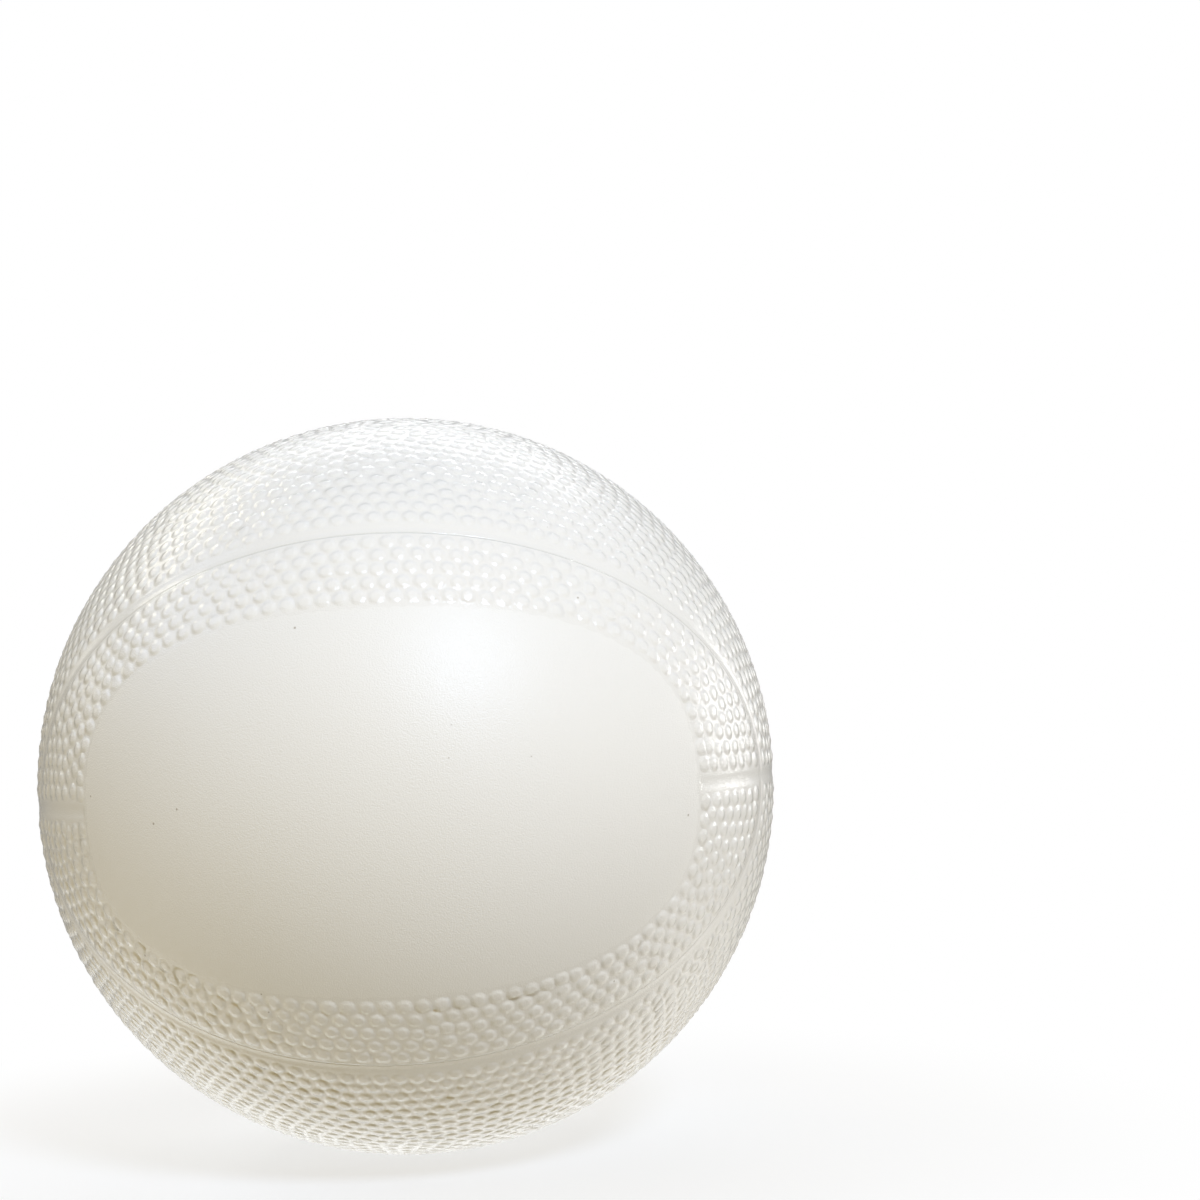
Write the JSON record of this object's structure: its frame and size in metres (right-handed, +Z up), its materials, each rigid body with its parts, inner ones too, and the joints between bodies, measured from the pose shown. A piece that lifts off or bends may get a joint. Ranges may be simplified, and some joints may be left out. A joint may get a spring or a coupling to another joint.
{
  "type": "mini basketball",
  "caption": "Small hollow vinyl basketball with pebbled grain, recessed seam channels, a smooth imprint panel and a press-in needle valve opposite it.",
  "frame": {"origin": "centre of the ball", "axes": "+Z up, -Y out through the middle of the smooth imprint panel, +Y out of the valve along the needle hole"},
  "size_m": [0.1268, 0.1265, 0.1266],
  "materials": {
    "white_vinyl": "glossy soft white vinyl, moulded with a pebbled grain and smooth channels and panel",
    "amber_vinyl": "glossy amber vinyl, slightly cloudy",
    "cream_rubber": "satin cream rubber"
  },
  "bodies": {
    "ball": {"ball_shell": "white_vinyl", "valve_sleeve": "amber_vinyl"},
    "plug": {"valve_plug": "cream_rubber"}
  },
  "joints": [
    {"name": "plug_pull", "type": "slide", "parent": "ball", "child": "plug", "axis": [0, 1, 0], "range_m": [0, 0.0175]}
  ]
}
